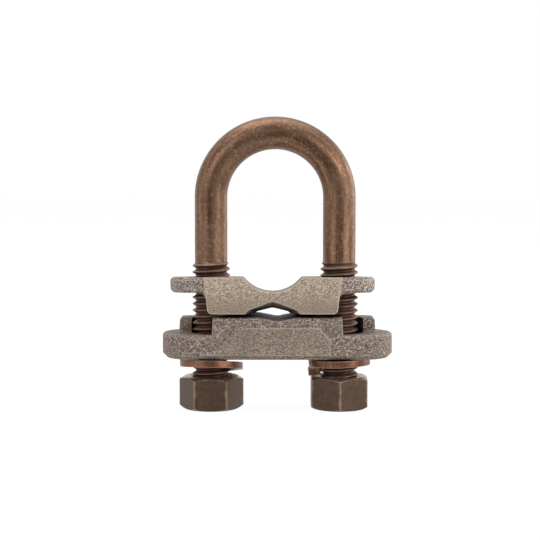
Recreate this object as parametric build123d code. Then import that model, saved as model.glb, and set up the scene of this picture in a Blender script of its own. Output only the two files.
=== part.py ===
from build123d import *
from math import radians, tan
import os

# Earth rod clamp: a bronze U-bolt with a loose saddle and a base casting, drawn up by two nuts.
# Millimetres, +Z up. The origin lies midway between the base's leg holes, at the height of the
# surface that the nuts stand on. The ground rod lies along Y, under the bend of the U-bolt.

# U-bolt: a 3/8-16 thread rolled on a thinner rod. The solid has the thread's outer cylinder.
THREAD_DIA = 9.4
SHANK_DIA = 8.1
LEG_SPACING = 31.9
LEG_LENGTH = 51.85
THREAD_LENGTH = 35.8
THREAD_RUNOUT = 0.9
LEG_END_CHAMFER = 0.8
LEG_RECESS = 0.8

# Nuts
NUT_ACROSS_FLATS = 13.9
NUT_HEIGHT = 8.1
NUT_CHAMFER_DIA = 13.3
NUT_CHAMFER_ANGLE = 30
NUT_MOUTH_DIA = 10.2
THREAD_CLEARANCE = 0.05

# Split lock washers
WASHER_BORE = 9.8
WASHER_WIDTH = 2.95
WASHER_THICKNESS = 1.65
WASHER_RISE = 2.68
WASHER_GAP_ANGLE = 6
WASHER_SEAT_CLEARANCE = 0.1
LEFT_SPLIT_ANGLE = 60
LEFT_LEAN_X = -7.9
LEFT_LEAN_Y = -2.3
RIGHT_SPLIT_ANGLE = 190
RIGHT_LEAN_X = 0.4
RIGHT_LEAN_Y = -5.1

# Holes in both castings
LEG_HOLE_DIA = 11.0
UBOLT_PLAY_SHARE = 0.7
SADDLE_PLAY_SHARE = 0.8

# Base casting
BASE_END_MARGIN = 12.7
WASHER_SEAT_MARGIN = 0.15
PLATE_THICKNESS = 6.15
PLATE_DRAFT = 1.0
PLATE_EDGE_BREAK = 1.1
PLATE_RIM_BREAK = 0.4
BLOCK_LENGTH = 32.1
BLOCK_RISE = 4.3
BLOCK_EDGE_RADIUS = 1.2
WALL_END_MARGIN = 8.75
WALL_RISE = 3.45
WALL_EDGE_BREAK = 0.4
RISE_DRAFT = 3.0
CRADLE_WIDTH = 9.6
CRADLE_DEPTH = 1.0
CRADLE_BOTTOM_RADIUS = 3.0
GATE_PAD_THICKNESS = 0.2
GATE_PAD_HEIGHT = 7.9
GATE_PAD_LENGTH = 26.0
GATE_PAD_CORNER = 3.0

# Saddle casting
SADDLE_END_MARGIN = 9.65
SADDLE_DEPTH = 15.2
SADDLE_HEIGHT = 9.0
SADDLE_BLOCK_TOP = 33.8
SADDLE_BLOCK_FOOT = 31.8
EAR_THICKNESS = 3.8
EAR_SETBACK = 0.25
EAR_DRAFT = 3.0
EAR_EDGE_BREAK = 0.7
EAR_FOOT_RADIUS = 2.0
SADDLE_FOOT_RADIUS = 1.2
SADDLE_LEAN = 3.0
SADDLE_SEAT_CLEARANCE = 0.05
ROD_SEAT_RADIUS = 9.2
ROD_SEAT_DEPTH = 3.65
ROD_SEAT_SHOULDER = 1.2
GROOVE_WIDTH = 14.1
GROOVE_HEIGHT = 3.4
GROOVE_LIP_WIDTH = 0.9
GROOVE_LIP_HEIGHT = 1.05
GROOVE_CROWN_RADIUS = 3.0
GROOVE_WAIST_NARROWING = 0.62
GROOVE_WAIST_LOWERING = 0.41
GROOVE_MOUTH_OVERRUN = 0.6

# Derived places
HOLE_CLEARANCE = (LEG_HOLE_DIA - THREAD_DIA) / 2
UBOLT_X = -UBOLT_PLAY_SHARE * HOLE_CLEARANCE
SADDLE_X = UBOLT_X - SADDLE_PLAY_SHARE * HOLE_CLEARANCE
BEND_RADIUS = LEG_SPACING / 2
BEND_Z = LEG_RECESS + LEG_LENGTH
BASE_LENGTH = LEG_SPACING + 2 * BASE_END_MARGIN
BASE_DEPTH = WASHER_BORE + 2 * WASHER_WIDTH + 2 * WASHER_SEAT_MARGIN
WALL_LENGTH = LEG_SPACING + 2 * WALL_END_MARGIN
SADDLE_LENGTH = LEG_SPACING + 2 * SADDLE_END_MARGIN
LEG_SIDES = {"left": -1, "right": 1}


def tan_of(angle):
    return tan(radians(angle))


def along_rod(profile, depth):
    """Extrude a profile drawn in X and Z evenly to both sides of the leg plane."""
    return extrude(Plane.XZ.offset(-depth / 2) * profile, depth)


def leg_x(side):
    return UBOLT_X + LEG_SIDES[side] * BEND_RADIUS


def top_of(shape):
    return shape.bounding_box().max.Z


def u_bolt():
    """One rod: two straight legs with the thread's outer cylinder, and a half-round bend."""
    thread_top = LEG_RECESS + THREAD_LENGTH
    shank = SHANK_DIA / 2
    thread = THREAD_DIA / 2
    leg_profile = Polyline(
        (0, LEG_RECESS),
        (thread - LEG_END_CHAMFER, LEG_RECESS),
        (thread, LEG_RECESS + LEG_END_CHAMFER),
        (thread, thread_top - THREAD_RUNOUT),
        (shank, thread_top),
        (shank, BEND_Z),
        (0, BEND_Z),
        close=True,
    )
    leg = revolve(Plane.XZ * make_face(leg_profile), Axis.Z)
    section = Plane.XY.offset(BEND_Z) * Pos(leg_x("left")) * Circle(shank)
    bend_axis = Axis((UBOLT_X, 0, BEND_Z), (0, 1, 0))
    bend = revolve(section, bend_axis, 180)
    legs = [Pos(leg_x(side), 0, 0) * leg for side in LEG_SIDES]
    return bend + legs


def nut(side, turn):
    """Hexagon nut, chamfered on both ends, with countersunk mouths."""
    hexagon = RegularPolygon(NUT_ACROSS_FLATS / 2, 6, major_radius=False, rotation=turn)
    body = extrude(hexagon, NUT_HEIGHT)
    end = NUT_CHAMFER_DIA / 2
    reach = NUT_ACROSS_FLATS
    drop = (reach - end) * tan_of(NUT_CHAMFER_ANGLE)
    envelope = revolve(
        Plane.XZ
        * make_face(
            Polyline(
                (0, 0),
                (end, 0),
                (reach, drop),
                (reach, NUT_HEIGHT - drop),
                (end, NUT_HEIGHT),
                (0, NUT_HEIGHT),
                close=True,
            )
        ),
        Axis.Z,
    )
    bore = THREAD_DIA / 2 + THREAD_CLEARANCE
    mouth = NUT_MOUTH_DIA / 2
    bevel = mouth - bore
    hole = revolve(
        Plane.XZ
        * make_face(
            Polyline(
                (0, 0),
                (mouth, 0),
                (bore, bevel),
                (bore, NUT_HEIGHT - bevel),
                (mouth, NUT_HEIGHT),
                (0, NUT_HEIGHT),
                close=True,
            )
        ),
        Axis.Z,
    )
    return Pos(leg_x(side), 0, 0) * ((body & envelope) - hole)


def lock_washer(side, split_angle, lean_x, lean_y):
    """Left-hand coil of one turn with a gap, leaning on its leg and resting on the nut."""
    turn_share = (360 - WASHER_GAP_ANGLE) / 360
    radius = (WASHER_BORE + WASHER_WIDTH) / 2
    coil = Helix(WASHER_RISE / turn_share, WASHER_RISE, radius, lefthand=True)
    section = Pos(radius, 0, 0) * Plane.XZ * Rectangle(WASHER_WIDTH, WASHER_THICKNESS)
    ring = sweep(section, path=coil, is_frenet=True)
    leaning = Rot(X=lean_x, Y=lean_y) * Rot(Z=split_angle) * Pos(0, 0, -WASHER_RISE / 2) * ring
    seat = NUT_HEIGHT + WASHER_SEAT_CLEARANCE - leaning.bounding_box().min.Z
    return Pos(leg_x(side), 0, seat) * leaning


def leg_holes(centre_x, length):
    hole = Cylinder(LEG_HOLE_DIA / 2, length)
    return [Pos(centre_x + sign * BEND_RADIUS, 0, 0) * hole for sign in LEG_SIDES.values()]


def base(bottom):
    """Lower casting: plate, raised block with a V cradle, and low walls behind the legs."""
    parting = bottom + PLATE_THICKNESS / 2
    plate_top = bottom + PLATE_THICKNESS
    outline = Plane.XY.offset(parting) * SlotOverall(BASE_LENGTH, BASE_DEPTH)
    lower_half = extrude(outline, -PLATE_THICKNESS / 2, taper=PLATE_DRAFT)
    lower_half = chamfer(lower_half.edges().group_by(Axis.Z)[0], PLATE_EDGE_BREAK)
    upper_half = extrude(outline, PLATE_THICKNESS / 2, taper=PLATE_DRAFT)
    upper_half = chamfer(upper_half.edges().group_by(Axis.Z)[-1], PLATE_RIM_BREAK)
    # Both rises keep the plate's drafted outside, so their outer faces are flush with it
    outside = extrude(outline, PLATE_THICKNESS / 2 + BLOCK_RISE, taper=PLATE_DRAFT)
    block_half = BLOCK_LENGTH / 2
    block_inset = BLOCK_RISE * tan_of(RISE_DRAFT)
    block_profile = make_face(
        Polyline(
            (-block_half, -PLATE_THICKNESS / 2),
            (block_half, -PLATE_THICKNESS / 2),
            (block_half, 0),
            (block_half - block_inset, BLOCK_RISE),
            (-block_half + block_inset, BLOCK_RISE),
            (-block_half, 0),
            close=True,
        )
    )
    block = Pos(0, 0, plate_top) * along_rod(block_profile, 2 * BASE_DEPTH) & outside
    long_edges = block.edges().group_by(Axis.Z)[-1].filter_by(Axis.X)
    block = fillet(long_edges, BLOCK_EDGE_RADIUS)
    wall_plan = Plane.XY.offset(parting) * Pos(0, BASE_DEPTH / 2) * Rectangle(WALL_LENGTH, BASE_DEPTH)
    wall = extrude(wall_plan, PLATE_THICKNESS / 2 + WALL_RISE, taper=RISE_DRAFT) & outside
    wall = chamfer(wall.edges().group_by(Axis.Z)[-1], WALL_EDGE_BREAK)
    casting = lower_half + upper_half + wall + block

    deck = plate_top + BLOCK_RISE
    slope = 2 * CRADLE_DEPTH / CRADLE_WIDTH
    reach = CRADLE_WIDTH
    cradle = make_face(
        Polyline(
            (-reach, slope * reach - CRADLE_DEPTH),
            (0, -CRADLE_DEPTH),
            (reach, slope * reach - CRADLE_DEPTH),
            close=True,
        )
    )
    cradle = fillet(cradle.vertices().sort_by(Axis.Y)[0], CRADLE_BOTTOM_RADIUS)
    casting = casting - Pos(0, 0, deck) * along_rod(cradle, 2 * BASE_DEPTH)

    pad_half = GATE_PAD_LENGTH / 2
    pad = make_face(
        Polyline(
            (-pad_half - GATE_PAD_CORNER, PLATE_EDGE_BREAK),
            (pad_half, PLATE_EDGE_BREAK),
            (pad_half, GATE_PAD_HEIGHT - GATE_PAD_CORNER),
            (pad_half - GATE_PAD_CORNER, GATE_PAD_HEIGHT),
            (-pad_half + GATE_PAD_CORNER, GATE_PAD_HEIGHT),
            (-pad_half, GATE_PAD_HEIGHT - GATE_PAD_CORNER),
            close=True,
        )
    )
    pad_depth = BASE_DEPTH / 2 + GATE_PAD_THICKNESS
    pad_reach = BASE_DEPTH / 4
    casting = casting + extrude(Plane.XZ.offset(pad_depth - pad_reach) * Pos(0, bottom) * pad, pad_reach)
    return casting - leg_holes(0, 4 * deck)


def groove_section(narrowing, lowering, y):
    """Inverted V with steep lips, at one station along the groove."""
    half = GROOVE_WIDTH / 2 * narrowing
    lip_x = half - GROOVE_LIP_WIDTH * narrowing
    lip_z = GROOVE_LIP_HEIGHT * lowering
    profile = make_face(
        Polyline(
            (-half, 0),
            (-lip_x, lip_z),
            (0, GROOVE_HEIGHT * lowering),
            (lip_x, lip_z),
            (half, 0),
            (half, -GROOVE_LIP_HEIGHT),
            (-half, -GROOVE_LIP_HEIGHT),
            close=True,
        )
    )
    profile = fillet(profile.vertices().sort_by(Axis.Y)[-1], GROOVE_CROWN_RADIUS)
    return Plane.XZ.offset(-y) * profile


def saddle(seat_z):
    """Upper casting: two ears on the legs, a rod seat on top and a bell-mouthed groove below."""
    under_ear = SADDLE_HEIGHT - EAR_THICKNESS
    foot = SADDLE_BLOCK_FOOT / 2
    side = foot + (SADDLE_BLOCK_TOP - SADDLE_BLOCK_FOOT) / 2 * under_ear / SADDLE_HEIGHT
    tee = make_face(
        Polyline(
            (-foot, 0),
            (foot, 0),
            (side, under_ear),
            (SADDLE_LENGTH, under_ear),
            (SADDLE_LENGTH, SADDLE_HEIGHT),
            (-SADDLE_LENGTH, SADDLE_HEIGHT),
            (-SADDLE_LENGTH, under_ear),
            (-side, under_ear),
            close=True,
        )
    )
    corners = tee.vertices().filter_by_position(Axis.X, -side - 0.01, side + 0.01)
    tee = fillet(corners.filter_by_position(Axis.Y, under_ear, under_ear), EAR_FOOT_RADIUS)
    tee = fillet(tee.vertices().group_by(Axis.Y)[0], SADDLE_FOOT_RADIUS)
    ear_depth = SADDLE_DEPTH - 2 * EAR_SETBACK
    outline = Plane.XY.offset(SADDLE_HEIGHT) * SlotOverall(SADDLE_LENGTH, ear_depth)
    plan = extrude(outline, -SADDLE_HEIGHT, taper=EAR_DRAFT)
    casting = along_rod(tee, 2 * SADDLE_DEPTH) & plan
    casting = chamfer(casting.edges().group_by(Axis.Z)[-1], EAR_EDGE_BREAK)
    ear_feet = side + EAR_FOOT_RADIUS
    level = casting.faces().filter_by(Plane.XY)
    undersides = level.filter_by_position(Axis.Z, under_ear - EAR_EDGE_BREAK, under_ear + EAR_EDGE_BREAK)
    rims = [edge for edge in undersides.edges() if abs(edge.center().X) > ear_feet + EAR_SETBACK]
    casting = chamfer(rims, EAR_EDGE_BREAK)
    front = make_face(
        Polyline(
            (-foot, 0),
            (foot, 0),
            (SADDLE_BLOCK_TOP / 2, SADDLE_HEIGHT),
            (-SADDLE_BLOCK_TOP / 2, SADDLE_HEIGHT),
            close=True,
        )
    )
    front = fillet(front.vertices().group_by(Axis.Y)[0], SADDLE_FOOT_RADIUS)
    casting = casting + along_rod(front, SADDLE_DEPTH)

    rod = Pos(0, 0, SADDLE_HEIGHT - ROD_SEAT_DEPTH + ROD_SEAT_RADIUS) * Rot(X=90) * Cylinder(
        ROD_SEAT_RADIUS, 2 * SADDLE_DEPTH
    )
    casting = casting - rod
    ridges = casting.edges().filter_by(Axis.Y)
    shoulders = ridges.filter_by_position(Axis.X, -ROD_SEAT_RADIUS, ROD_SEAT_RADIUS).group_by(Axis.Z)[-1]
    casting = fillet(shoulders, ROD_SEAT_SHOULDER)

    mouth_y = SADDLE_DEPTH / 2 + GROOVE_MOUTH_OVERRUN
    waist = groove_section(GROOVE_WAIST_NARROWING, GROOVE_WAIST_LOWERING, 0)
    front_bell = loft([groove_section(1, 1, -mouth_y), waist])
    rear_bell = loft([waist, groove_section(1, 1, mouth_y)])
    casting = casting - front_bell - rear_bell
    casting = casting - leg_holes(0, 4 * SADDLE_HEIGHT)
    return Pos(SADDLE_X, 0, seat_z) * Rot(X=-SADDLE_LEAN) * casting


washers = {
    "lock_washer_left": lock_washer("left", LEFT_SPLIT_ANGLE, LEFT_LEAN_X, LEFT_LEAN_Y),
    "lock_washer_right": lock_washer("right", RIGHT_SPLIT_ANGLE, RIGHT_LEAN_X, RIGHT_LEAN_Y),
}
base_bottom = max(top_of(ring) for ring in washers.values()) + WASHER_SEAT_CLEARANCE
deck_top = base_bottom + PLATE_THICKNESS + BLOCK_RISE
lean_drop = SADDLE_DEPTH / 2 * tan_of(SADDLE_LEAN)
parts = {
    "u_bolt": u_bolt(),
    "nut_left": nut("left", 0),
    "nut_right": nut("right", 30),
    "base": base(base_bottom),
    "saddle": saddle(deck_top + SADDLE_SEAT_CLEARANCE + lean_drop),
    **washers,
}

os.makedirs("parts", exist_ok=True)
for name, shape in parts.items():
    export_step(shape, f"parts/{name}.step")
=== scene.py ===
import math
import bmesh
import bpy
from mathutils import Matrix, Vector


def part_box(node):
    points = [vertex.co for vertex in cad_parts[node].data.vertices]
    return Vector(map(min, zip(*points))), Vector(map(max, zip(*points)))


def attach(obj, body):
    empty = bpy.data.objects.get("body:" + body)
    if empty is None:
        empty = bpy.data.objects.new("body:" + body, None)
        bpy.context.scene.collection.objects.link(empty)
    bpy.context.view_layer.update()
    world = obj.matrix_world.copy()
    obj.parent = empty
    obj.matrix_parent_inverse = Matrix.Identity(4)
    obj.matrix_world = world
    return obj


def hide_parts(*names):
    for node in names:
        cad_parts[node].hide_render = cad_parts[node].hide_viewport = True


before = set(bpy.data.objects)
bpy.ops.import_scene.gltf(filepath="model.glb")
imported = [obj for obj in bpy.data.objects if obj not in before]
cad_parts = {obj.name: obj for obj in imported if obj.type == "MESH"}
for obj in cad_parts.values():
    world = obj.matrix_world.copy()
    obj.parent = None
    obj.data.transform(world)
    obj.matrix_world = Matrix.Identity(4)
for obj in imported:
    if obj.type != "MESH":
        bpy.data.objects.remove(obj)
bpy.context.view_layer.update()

# ---- Base casting
# The lower half of the clamp, sand-cast bronze left as cast and browned by handling. It gives the eye a
# coarse dark and pale grain, with painted shade darkening its gaps, and edges rubbed pale and painted
# with a highlight. Its front was touched on a linishing belt, which left the gate pad finer and
# smoother.


def linear(hex_code):
    """A colour written as sRGB, as the linear values that shaders take."""
    channels = [int(hex_code[i : i + 2], 16) / 255 for i in (1, 3, 5)]
    return [c / 12.92 if c <= 0.04045 else ((c + 0.055) / 1.055) ** 2.4 for c in channels] + [1.0]


def new_material(name, metallic, roughness):
    material = bpy.data.materials.new(name)
    material.use_nodes = True
    shader = material.node_tree.nodes["Principled BSDF"]
    shader.inputs["Metallic"].default_value = metallic
    shader.inputs["Roughness"].default_value = roughness
    return material, material.node_tree, shader


def add(tree, kind, inputs, output=0, **settings):
    """Add a node, set its properties, fill or link its inputs, and return one of its outputs."""
    node = tree.nodes.new("ShaderNode" + kind)
    for key, value in settings.items():
        setattr(node, key, value)
    for key, value in inputs.items():
        if isinstance(value, bpy.types.NodeSocket):
            tree.links.new(value, node.inputs[key])
        else:
            node.inputs[key].default_value = value
    return node.outputs[output]


def place_mm(tree, stretch=(1, 1, 1)):
    """Object coordinates in millimetres, stretched where a pattern has a direction."""
    place = add(tree, "TexCoord", {}, "Object")
    return add(tree, "VectorMath", {0: place, 1: [1000 * s for s in stretch]}, operation="MULTIPLY")


def noise(tree, place, per_mm, detail=2.0, roughness=0.5):
    inputs = {"Vector": place, "Scale": per_mm, "Detail": detail, "Roughness": roughness}
    return add(tree, "TexNoise", inputs, "Fac")


def smooth(tree, value, low, high, to_low=0.0, to_high=1.0):
    inputs = {0: value, 1: low, 2: high, 3: to_low, 4: to_high}
    return add(tree, "MapRange", inputs, interpolation_type="SMOOTHSTEP")


def maths(tree, operation, a, b=0.0):
    return add(tree, "Math", {0: a, 1: b}, operation=operation)


def blend(tree, factor, a, b):
    return add(tree, "Mix", {0: factor, 6: a, 7: b}, 2, data_type="RGBA")


def rounded_edges(tree, radius_mm):
    return add(tree, "Bevel", {"Radius": radius_mm / 1000}, samples=6)


def worn_and_highlit_edges(tree, radius_mm):
    """1 close to an outer or inner edge: skin polished by handling and tumbling, with a painted
    highlight along the edge.
    """
    normals = {0: add(tree, "NewGeometry", {}, "Normal"), 1: rounded_edges(tree, radius_mm)}
    agreement = add(tree, "VectorMath", normals, "Value", operation="DOT_PRODUCT")
    return smooth(tree, agreement, 0.8, 0.99, 1.0, 0.0)


def painted_gap_shade(tree, reach_mm):
    """1 deep in a gap or a hole, darkened there as painted shade, and 0 on open skin."""
    openness = add(tree, "AmbientOcclusion", {"Distance": reach_mm / 1000}, "AO", samples=8)
    return smooth(tree, openness, 0.15, 0.6, 1.0, 0.0)


def ground_face(tree, normal, offset_mm, depth_mm):
    """1 on the flat that a belt reached: the skin within depth of a plane, facing along normal."""
    place = place_mm(tree)
    height = add(tree, "VectorMath", {0: place, 1: normal}, "Value", operation="DOT_PRODUCT")
    face = add(tree, "NewGeometry", {}, "Normal")
    facing = add(tree, "VectorMath", {0: face, 1: normal}, "Value", operation="DOT_PRODUCT")
    near = smooth(tree, height, offset_mm - depth_mm, offset_mm - depth_mm * 0.5)
    return maths(tree, "MULTIPLY", near, smooth(tree, facing, 0.96, 0.99))


def cast_bronze(name, belt_plane, rough, linished, painted_light_z_range, blurred_x):
    """Rough sand-cast skin, with finer, paler metal where the belt touched it.

    Edges are rubbed pale and painted with a highlight, apart from a stretch round blurred_x where the
    casting ran soft. The belt's flat is painted from shade low down to light high up over the height
    range it is given, and gaps are darkened as painted shade.
    """
    material, tree, shader = new_material(name, 0.45, 0.6)
    place = place_mm(tree)
    sand = noise(tree, place_mm(tree, (0.85, 1, 1.1)), 2.7, 2.0, 0.55)
    pits = noise(tree, place, 0.9, 2.0, 0.5)
    blotch = noise(tree, place, 0.14, 2.0, 0.5)
    stain = noise(tree, place_mm(tree, (0.8, 1, 0.35)), 0.22, 1.0)
    dark, middle, light = (linear(colour) for colour in rough)
    skin = blend(tree, smooth(tree, sand, 0.3, 0.5), dark, middle)
    skin = blend(tree, smooth(tree, sand, 0.5, 0.72), skin, light)
    skin = blend(tree, smooth(tree, blotch, 0.4, 0.65, 0.0, 0.3), skin, middle)
    belt = ground_face(tree, *belt_plane)
    grit = noise(tree, place_mm(tree, (1, 1, 1.6)), 2.4, 2.0, 0.6)
    height_mm = add(tree, "SeparateXYZ", {0: place}, "Z")
    low, high, marks, edge_wear_and_highlight = (linear(colour) for colour in linished)
    # Painted light: the linished flat runs from the low colour at the bottom of the height range to the
    # high colour at its top, paler where the light from above falls.
    ground = blend(tree, smooth(tree, height_mm, *painted_light_z_range), low, high)
    ground = blend(tree, smooth(tree, grit, 0.32, 0.68, 1.0, 0.0), ground, marks)
    ground = blend(tree, smooth(tree, stain, 0.6, 0.75, 0.0, 0.2), ground, marks)
    skin = blend(tree, belt, skin, ground)
    from_blur = maths(tree, "SUBTRACT", add(tree, "SeparateXYZ", {0: place}, "X"), blurred_x)
    clear = smooth(tree, maths(tree, "ABSOLUTE", from_blur), 2.0, 4.0, 0.0, 0.7)
    # Painted highlight along the edges, together with edges rubbed pale by handling.
    skin = blend(tree, maths(tree, "MULTIPLY", worn_and_highlit_edges(tree, 0.7), clear), skin, edge_wear_and_highlight)
    # Painted shade: gaps and holes are darkened towards near black by ambient occlusion.
    skin = blend(tree, painted_gap_shade(tree, 4.0), skin, linear("#241f1e"))
    tree.links.new(skin, shader.inputs["Base Color"])
    worn = maths(tree, "SUBTRACT", 0.62, maths(tree, "MULTIPLY", belt, 0.1))
    tree.links.new(worn, shader.inputs["Roughness"])
    relief = maths(tree, "ADD", sand, maths(tree, "MULTIPLY", pits, 0.8))
    left_rough = maths(tree, "SUBTRACT", 1.0, maths(tree, "MULTIPLY", belt, 0.6))
    relief = maths(tree, "MULTIPLY", relief, left_rough)
    inputs = {"Strength": 0.9, "Distance": 0.00025, "Height": relief}
    inputs["Normal"] = rounded_edges(tree, 0.4)
    tree.links.new(add(tree, "Bump", inputs), shader.inputs["Normal"])
    return material


def dress(node, material):
    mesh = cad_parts[node].data
    mesh.materials.clear()
    mesh.materials.append(material)


base_low, base_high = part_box("base")
base_front = ((0, -1, 0), -base_low.y * 1000, 0.12)
base_rough = ("#3b312b", "#7d6f65", "#c4b4a7")
base_flat = ("#aa9a89", "#aa9a89", "#65574e", "#c8b9a9")
skin = cast_bronze("cast_bronze_base", base_front, base_rough, base_flat, (13.0, 21.0), -11.5)
dress("base", skin)

# ---- Saddle casting
# The upper half, from the same bronze, loose on the legs of the U-bolt. It leans back a little, and
# its whole front was linished to a pale tan flat with a fine grain, so that flat follows the lean.

saddle_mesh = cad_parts["saddle"].data
lean = math.radians(3.0)
saddle_front = Vector((0, -math.cos(lean), math.sin(lean)))
front_mm = max(vertex.co.dot(saddle_front) for vertex in saddle_mesh.vertices) * 1000
saddle_rough = ("#2e2622", "#86786f", "#eadccf")
# The saddle's linished front is painted darker at the bottom and paler at the top, as painted light
# from above.
saddle_flat = ("#a69481", "#d3c0ab", "#7d6e61", "#e0d3c1")
saddle_plane = (saddle_front, front_mm, 0.2)
skin = cast_bronze("cast_bronze_saddle", saddle_plane, saddle_rough, saddle_flat, (24.0, 31.0), -60.0)
dress("saddle", skin)

# ---- U-bolt
# One length of drawn silicon-bronze rod, bent hot to a half round: brown, satin, with streaks along
# its length and fine pale specks. Both legs are rolled with a 3/8-16 right-hand thread, pushed up
# from a blank that is a little thinner than the crests.

PITCH = 1.5875
CREST = 4.7
ROOT = 3.86
SHANK = 4.05
THREAD_TOP = 36.6
RUNOUT = 1.3
END_CHAMFER = 0.85
COLUMNS = 72
THREAD_FORM = [(-0.1, 0.9), (-0.05, 1.0), (0.05, 1.0), (0.1, 0.9)]
THREAD_FORM += [(0.35, 0.12), (0.43, 0.0), (0.57, 0.0), (0.65, 0.12)]

bolt_low, bolt_high = (1000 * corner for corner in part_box("u_bolt"))
bend_x = (bolt_low.x + bolt_high.x) / 2
bend_radius = (bolt_high.x - bolt_low.x) / 2 - CREST
bend_z = bolt_high.z - bend_radius - SHANK
leg_x = {"left": bend_x - bend_radius, "right": bend_x + bend_radius}
thread_start = {"left": 33.32, "right": 35.65}


def new_object(name, vertices, faces, material, *, body, layers=None):
    mesh = bpy.data.meshes.new(name)
    mesh.from_pydata([Vector(v) / 1000 for v in vertices], [], faces)
    for layer, values in (layers or {}).items():
        mesh.attributes.new(layer, "FLOAT", "POINT").data.foreach_set("value", values)
    work = bmesh.new()
    work.from_mesh(mesh)
    bmesh.ops.remove_doubles(work, verts=work.verts, dist=1e-6)
    bmesh.ops.dissolve_degenerate(work, dist=1e-7, edges=work.edges)
    bmesh.ops.recalc_face_normals(work, faces=work.faces)
    work.to_mesh(mesh)
    work.free()
    mesh.shade_smooth()
    mesh.set_sharp_from_angle(angle=math.radians(40))
    mesh.materials.append(material)
    piece = bpy.data.objects.new(name, mesh)
    bpy.context.scene.collection.objects.link(piece)
    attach(piece, body)
    return piece


def thread_height(share):
    """Height of the thread form, from root 0 to crest 1, at any share of the pitch."""
    start, height = THREAD_FORM[0]
    share = start + (share - start) % 1
    form = THREAD_FORM + [(start + 1, height)]
    for (a, low), (b, high) in zip(form, form[1:]):
        if share <= b:
            return low + (high - low) * (share - a) / (b - a)


def thread_surface(start, low, high, radius_at):
    """Rows that follow the helix. Where one is clipped to low or high, it takes the form there."""
    turns = math.ceil((high - low) / PITCH) + 3
    first = start - math.ceil((start - low) / PITCH + 2) * PITCH
    rows = []
    for turn in range(turns + 2):
        for share, height in THREAD_FORM:
            ring = []
            for column in range(COLUMNS):
                z = first + PITCH * (turn + share + column / COLUMNS)
                clipped = min(max(z, low), high)
                form = height
                if clipped != z:
                    form = thread_height((clipped - first) / PITCH - column / COLUMNS)
                ring.append((column, clipped, radius_at(clipped, form), form))
            rows.append(ring)
    return rows


def thread_faces(rows, offset=0):
    """Quads of a helical grid. The last column meets the first one a whole turn further up."""
    step = len(THREAD_FORM)
    faces = []
    for row in range(len(rows) - step - 1):
        for column in range(COLUMNS):
            nxt = (column + 1) % COLUMNS
            up = step if nxt == 0 else 0
            corners = (row * COLUMNS + column, (row + up) * COLUMNS + nxt)
            corners += ((row + up + 1) * COLUMNS + nxt, (row + 1) * COLUMNS + column)
            faces.append([offset + corner for corner in corners])
    return faces


def leg_radius(z, height):
    fade = min(max((z - (THREAD_TOP - RUNOUT)) / RUNOUT, 0), 1)
    root = ROOT + (SHANK - ROOT) * fade
    crest = CREST + (SHANK - CREST) * fade**3
    return min(root + height * (crest - root), CREST - END_CHAMFER + (z - bolt_low.z))


vertices, faces = [], []
heights, across_mm, back_mm, along_mm = [], [], [], []


def note(height, across, back, along):
    """What the skin needs at a vertex: thread height, place in the rod's section and along it."""
    heights.append(height)
    across_mm.append(across)
    back_mm.append(back)
    along_mm.append(along)


def add_ring(centre, outward, radius, along):
    first = len(vertices)
    for column in range(COLUMNS):
        angle = 2 * math.pi * column / COLUMNS
        across, back = math.cos(angle) * radius, math.sin(angle) * radius
        vertices.append(Vector(centre) + Vector(outward) * across + Vector((0, back, 0)))
        note(1.0, across, back, along)
    return first


def join_rings(a, b):
    for column in range(COLUMNS):
        nxt = (column + 1) % COLUMNS
        faces.append([a + column, a + nxt, b + nxt, b + column])


for side, x in leg_x.items():
    rows = thread_surface(thread_start[side], bolt_low.z, THREAD_TOP, leg_radius)
    first = len(vertices)
    for ring in rows:
        for column, z, radius, height in ring:
            angle = 2 * math.pi * column / COLUMNS
            across, back = radius * math.cos(angle), radius * math.sin(angle)
            vertices.append(Vector((x + across, back, z)))
            note(height, across, back, z - bend_z)
    faces += thread_faces(rows, first)
    end = add_ring((x, 0, bolt_low.z), (1, 0, 0), CREST - END_CHAMFER, bolt_low.z - bend_z)
    faces.append(list(range(end, end + COLUMNS)))

shank_rows = 12
bend_rows = 64
rings = []
for step in range(shank_rows):
    z = THREAD_TOP + (bend_z - THREAD_TOP) * step / shank_rows
    rings.append(add_ring((leg_x["right"], 0, z), (1, 0, 0), SHANK, z - bend_z))
for step in range(bend_rows + 1):
    angle = math.pi * step / bend_rows
    outward = Vector((math.cos(angle), 0, math.sin(angle)))
    centre = Vector((bend_x, 0, bend_z)) + outward * bend_radius
    rings.append(add_ring(centre, outward, SHANK, angle * bend_radius))
for step in range(1, shank_rows + 1):
    z = bend_z + (THREAD_TOP - bend_z) * step / shank_rows
    along = math.pi * bend_radius + bend_z - z
    rings.append(add_ring((leg_x["left"], 0, z), (-1, 0, 0), SHANK, along))
for a, b in zip(rings, rings[1:]):
    join_rings(a, b)

rod_skin, tree, shader = new_material("drawn_bronze_rod", 0.75, 0.4)
place = place_mm(tree)
height_mm = add(tree, "SeparateXYZ", {0: place}, "Z")
across = add(tree, "Attribute", {}, "Fac", attribute_name="across")
back = add(tree, "Attribute", {}, "Fac", attribute_name="back")
along = add(tree, "Attribute", {}, "Fac", attribute_name="along")
drawn = add(tree, "CombineXYZ", {0: across, 1: back, 2: maths(tree, "MULTIPLY", along, 0.09)})
streak = noise(tree, drawn, 0.9, 3.0, 0.6)
cloud = noise(tree, place, 0.12, 3.0, 0.55)
speck = noise(tree, place, 1.6, 2.0, 0.6)
skin = blend(tree, smooth(tree, streak, 0.36, 0.64), linear("#5f4333"), linear("#86634b"))
skin = blend(tree, smooth(tree, cloud, 0.42, 0.66, 0.0, 0.7), skin, linear("#735a48"))
skin = blend(tree, smooth(tree, speck, 0.52, 0.72, 0.0, 0.55), skin, linear("#a5886c"))
skin = blend(tree, smooth(tree, speck, 0.28, 0.45, 0.5, 0.0), skin, linear("#4b372c"))
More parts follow.
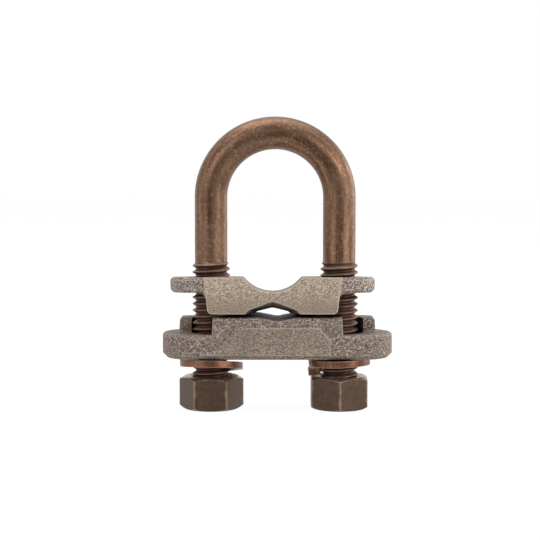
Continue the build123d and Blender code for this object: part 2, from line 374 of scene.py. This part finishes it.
crest = add(tree, "Attribute", {}, "Fac", attribute_name="thread_height")
below = smooth(tree, height_mm, THREAD_TOP - 0.2, THREAD_TOP, 1.0, 0.0)
# Painted shade and highlight: thread roots are painted dark and crests pale, by the height of the
# thread form.
thread_shade_and_highlight = blend(tree, smooth(tree, crest, 0.1, 1.0), linear("#48362e"), linear("#826456"))
tree.links.new(blend(tree, below, skin, thread_shade_and_highlight), shader.inputs["Base Color"])
tree.links.new(smooth(tree, cloud, 0.3, 0.7, 0.34, 0.48), shader.inputs["Roughness"])
relief = maths(tree, "ADD", maths(tree, "MULTIPLY", streak, 0.5), speck)
bump = add(tree, "Bump", {"Strength": 0.35, "Distance": 0.00008, "Height": relief})
tree.links.new(bump, shader.inputs["Normal"])
layers = {"thread_height": heights, "across": across_mm, "back": back_mm, "along": along_mm}
bolt = new_object("u_bolt_threaded", vertices, faces, rod_skin, body="u_bolt", layers=layers)
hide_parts("u_bolt")

# ---- Lock washers
# Square-ish phosphor-bronze wire coiled to one turn and cut, so each shows its copper colour
# and the fine cross marks that the coiling rolls leave on the rim.

washer_skin, tree, shader = new_material("coiled_bronze_wire", 0.75, 0.36)
place = place_mm(tree)
mottle = noise(tree, place, 0.5, 3.0, 0.6)
rim_marks = noise(tree, place_mm(tree, (1, 1, 0.05)), 2.8, 2.0, 0.4)
right_side = smooth(tree, add(tree, "SeparateXYZ", {0: place}, "X"), 0.0, 2.0, 0.1, 0.5)
marked = maths(tree, "MULTIPLY", smooth(tree, rim_marks, 0.48, 0.6), right_side)
skin = blend(tree, smooth(tree, mottle, 0.35, 0.7), linear("#66432f"), linear("#875f4b"))
skin = blend(tree, marked, skin, linear("#4a2c20"))
# Edges rubbed pale, with a painted highlight along them.
skin = blend(tree, worn_and_highlit_edges(tree, 0.35), skin, linear("#c79d86"))
tree.links.new(skin, shader.inputs["Base Color"])
inputs = {"Strength": 0.5, "Distance": 0.00008, "Height": rim_marks, "Normal": rounded_edges(tree, 0.2)}
tree.links.new(add(tree, "Bump", inputs), shader.inputs["Normal"])
for node in ("lock_washer_left", "lock_washer_right"):
    dress(node, washer_skin)

# ---- Nuts
# Hot-pressed hexagons with a dark brown skin, rubbed pale on their corners and turned bright on the
# face that meets the washer, with a painted highlight on all skin that faces up. The mouth of each
# shows the thread tapped through it.


def pressed_nut(name, axis_x):
    """Dark skin, worn on the corners, and bare bright metal where a cutter turned the upper face,
    painted pale as a highlight wherever the skin faces up.
    """
    material, tree, shader = new_material(name, 0.4, 0.38)
    place = place_mm(tree)
    from_axis = add(tree, "VectorMath", {0: place, 1: (-axis_x, 0, 0)}, operation="ADD")
    flat = add(tree, "VectorMath", {0: from_axis, 1: (1, 1, 0)}, operation="MULTIPLY")
    reach = add(tree, "VectorMath", {0: flat}, "Value", operation="LENGTH")
    drift = noise(tree, place, 0.6, 3.0, 0.6)
    grain = noise(tree, place, 2.5, 2.0, 0.6)
    reach = maths(tree, "ADD", reach, maths(tree, "MULTIPLY", drift, 0.5))
    worn = smooth(tree, reach, 8.0, 8.35, 0.0, 0.75)
    skin = blend(tree, smooth(tree, drift, 0.35, 0.68), linear("#432f20"), linear("#523c2a"))
    skin = blend(tree, smooth(tree, grain, 0.6, 0.74, 0.0, 0.5), skin, linear("#68543f"))
    skin = blend(tree, worn, skin, linear("#a08a74"))
    # Painted highlight: skin facing up is painted pale as the overhead light falls on it, on top of the
    # turned metal that this also marks.
    facing_up = add(tree, "SeparateXYZ", {0: add(tree, "NewGeometry", {}, "Normal")}, "Z")
    turned_and_highlit = smooth(tree, facing_up, 0.25, 0.5)
    skin = blend(tree, maths(tree, "MULTIPLY", turned_and_highlit, 0.8), skin, linear("#c2b09c"))
    tree.links.new(skin, shader.inputs["Base Color"])
    tree.links.new(smooth(tree, turned_and_highlit, 0.0, 1.0, 0.4, 0.9), shader.inputs["Metallic"])
    dull = smooth(tree, drift, 0.3, 0.7, 0.34, 0.5)
    dull = maths(tree, "SUBTRACT", dull, maths(tree, "MULTIPLY", turned_and_highlit, 0.12))
    tree.links.new(dull, shader.inputs["Roughness"])
    inputs = {"Strength": 0.4, "Distance": 0.0001, "Height": grain, "Normal": rounded_edges(tree, 0.3)}
    tree.links.new(add(tree, "Bump", inputs), shader.inputs["Normal"])
    return material


THREAD_GAP = 0.07
BORE = 4.75


def nut_radius(z, height):
    return min(ROOT + height * (CREST - ROOT) + THREAD_GAP, BORE)


for side, x in leg_x.items():
    node = "nut_" + side
    nut_skin = pressed_nut("pressed_bronze_" + side, x)
    dress(node, nut_skin)
    nut_low, nut_high = (1000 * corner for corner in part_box(node))
    low, high = nut_low.z + 0.3, nut_high.z - 0.3
    rows = thread_surface(thread_start[side], low, high, nut_radius)
    ring = [
        (x + r * math.cos(2 * math.pi * c / COLUMNS), r * math.sin(2 * math.pi * c / COLUMNS), z)
        for row in rows
        for c, z, r, height in row
    ]
    tapped = new_object("tapped_thread_" + side, ring, thread_faces(rows), nut_skin, body=node)

# ---- Floor, light and camera
# The clamp stands on its nuts on a plain white sheet. A wide softbox hangs over it, one stands at
# each side in front and one behind on the right. A folded black card lies before the clamp and
# stands up behind the lens. It shows only as a dark reflection in the metal that looks at it.

floor_mesh = bpy.data.meshes.new("floor")
half = 3.0
corners = [(-half, -half, 0), (half, -half, 0), (half, half, 0), (-half, half, 0)]
floor_mesh.from_pydata(corners, [], [(0, 1, 2, 3)])
floor = bpy.data.objects.new("floor", floor_mesh)
bpy.context.scene.collection.objects.link(floor)
sheet, tree, shader = new_material("white_sheet", 0.0, 0.9)
shader.inputs["Base Color"].default_value = linear("#f0f0f0")
shader.inputs["Specular IOR Level"].default_value = 0.0
rays = tree.nodes.new("ShaderNodeLightPath").outputs
seen = maths(tree, "MAXIMUM", rays["Is Camera Ray"], rays["Is Glossy Ray"])
glow = add(tree, "Emission", {"Color": (1, 1, 1, 1), "Strength": 1.05})
share = maths(tree, "MULTIPLY", maths(tree, "MAXIMUM", seen, rays["Is Transmission Ray"]), 0.9)
surface = add(tree, "MixShader", {0: share, 1: shader.outputs[0], 2: glow})
tree.links.new(surface, tree.nodes["Material Output"].inputs["Surface"])
floor_mesh.materials.append(sheet)

world = bpy.data.worlds.new("studio")
bpy.context.scene.world = world
world.use_nodes = True
tree = world.node_tree
rays = tree.nodes.new("ShaderNodeLightPath").outputs
seen = maths(tree, "MAXIMUM", rays["Is Camera Ray"], rays["Is Glossy Ray"])
seen = maths(tree, "MAXIMUM", seen, rays["Is Transmission Ray"])
strength = smooth(tree, seen, 0.0, 1.0, 0.55, 1.0)
tree.nodes["Background"].inputs["Color"].default_value = (1, 1, 1, 1)
tree.links.new(strength, tree.nodes["Background"].inputs["Strength"])


def aim(thing, place, target):
    thing.location = place
    thing.rotation_euler = (Vector(target) - Vector(place)).to_track_quat("-Z", "Y").to_euler()
    bpy.context.scene.collection.objects.link(thing)


def softbox(name, place, width, height, watts):
    light = bpy.data.lights.new(name, "AREA")
    light.shape = "RECTANGLE"
    light.size, light.size_y = width, height
    light.energy = watts
    aim(bpy.data.objects.new(name, light), place, (0, 0, 0.03))


softbox("overhead_softbox", (0.0, 0.05, 0.75), 0.7, 0.6, 3.0)
softbox("left_softbox", (-0.6, -0.68, 0.3), 0.3, 0.6, 1.1)
softbox("right_softbox", (0.74, -0.6, 0.3), 0.6, 0.6, 3.4)
softbox("rear_softbox", (0.75, 0.4, 0.2), 0.4, 0.4, 2.0)

lens_card = bpy.data.meshes.new("lens_card")
half_width, near, far, top = 0.3, -0.14, -0.5, 0.22
corners = [(half_width, y, z) for y, z in ((near, 0.001), (far, 0.001), (far, top))]
corners += [(-x, y, z) for x, y, z in corners]
lens_card.from_pydata(corners, [], [(0, 1, 4, 3), (1, 2, 5, 4)])
card_piece = bpy.data.objects.new("lens_card", lens_card)
card_piece.visible_camera = False
card_piece.visible_diffuse = False
card_piece.visible_shadow = False
bpy.context.scene.collection.objects.link(card_piece)
felt, tree, shader = new_material("black_felt", 0.0, 1.0)
shader.inputs["Base Color"].default_value = linear("#181818")
shader.inputs["Specular IOR Level"].default_value = 0.0
lens_card.materials.append(felt)

camera = bpy.data.objects.new("camera", bpy.data.cameras.new("camera"))
camera.location = (-0.00184, -0.343, 0.05855)
camera.rotation_euler = (math.radians(86.0), 0, 0)
camera.data.lens = 91.93
camera.data.clip_start = 0.01
bpy.context.scene.collection.objects.link(camera)
bpy.context.scene.camera = camera
bpy.context.scene.view_settings.view_transform = "Standard"
